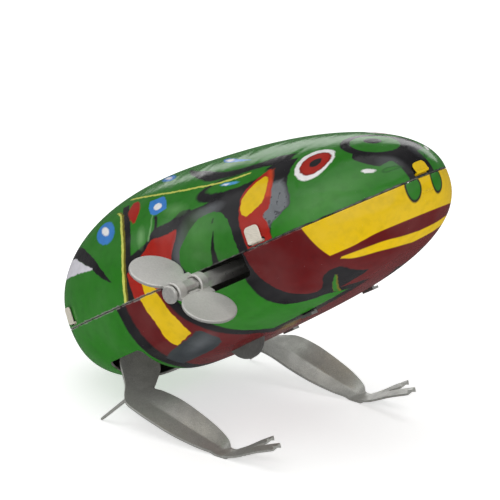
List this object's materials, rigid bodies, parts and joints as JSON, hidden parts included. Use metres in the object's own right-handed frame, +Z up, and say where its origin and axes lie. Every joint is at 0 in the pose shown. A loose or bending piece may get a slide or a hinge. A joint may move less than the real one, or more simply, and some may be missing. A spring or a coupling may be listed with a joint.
{
  "type": "wind-up tin jumping frog",
  "caption": "Wind-up jumping frog toy: printed tin body in two shells, butterfly key on one side, spring motor and star cam inside, and a sprung leg plate that kicks down.",
  "frame": {"origin": "on the ground under the middle of the box around the whole toy, with the key at the right-hand side counted in", "axes": "+X towards the nose, +Y to the frog's left, +Z up; the toy stands on its heels and spurs"},
  "size_m": [0.0693, 0.0486, 0.05],
  "materials": {
    "printed_upper": "gloss",
    "printed_lower": "gloss",
    "plate_steel": "satin",
    "turned_steel": "satin",
    "spring_steel": "satin",
    "wheel_brass": "satin",
    "key_nickel": "satin",
    "leg_tin": "satin"
  },
  "bodies": {
    "frog_body": {"upper_shell": "printed_upper", "lower_shell": "printed_lower", "motor_plate_right": "plate_steel", "motor_plate_left": "plate_steel", "frame_pillars": "turned_steel", "leg_pin": "turned_steel", "mainspring": "spring_steel"},
    "great_wheel": {"great_wheel": "wheel_brass", "click_rivet": "turned_steel", "click_spring": "spring_steel"},
    "winder": {"winding_arbor": "turned_steel", "key": "key_nickel", "ratchet_wheel": "turned_steel"},
    "second_arbor": {"second_shaft": "turned_steel", "second_pinion": "turned_steel", "second_wheel": "wheel_brass"},
    "cam_arbor": {"cam_shaft": "turned_steel", "cam_pinion": "turned_steel", "star_cam": "wheel_brass"},
    "legs": {"leg_plate": "leg_tin", "leg_spring": "spring_steel"}
  },
  "joints": [
    {"name": "train_run", "type": "hinge", "parent": "frog_body", "child": "great_wheel", "pos_m": [0.00713, 0.0053, 0.02909], "axis": [0, 1, 0], "continuous": true, "deforming": ["mainspring"]},
    {"name": "wind", "type": "hinge", "parent": "great_wheel", "child": "winder", "pos_m": [0.00713, 0.0053, 0.02909], "axis": [0, 1, 0], "range_deg": [0, 1800], "deforming": ["click_spring", "mainspring"]},
    {"name": "second_spin", "type": "hinge", "parent": "frog_body", "child": "second_arbor", "pos_m": [-0.00364, 0.0053, 0.02685], "axis": [0, 1, 0], "continuous": true},
    {"name": "cam_spin", "type": "hinge", "parent": "frog_body", "child": "cam_arbor", "pos_m": [-0.01339, 0.0053, 0.02463], "axis": [0, 1, 0], "continuous": true},
    {"name": "leg_kick", "type": "hinge", "parent": "frog_body", "child": "legs", "pos_m": [-0.01457, 0.0053, 0.01394], "axis": [0, 1, 0], "range_deg": [0, 12], "stiffness_Nm_per_rad": 0.02, "springref_deg": -17.19, "deforming": ["leg_spring"]}
  ],
  "couplings": [
    {"joint": "second_spin", "follows": "train_run", "ratio": -4.5},
    {"joint": "cam_spin", "follows": "train_run", "ratio": 18}
  ]
}
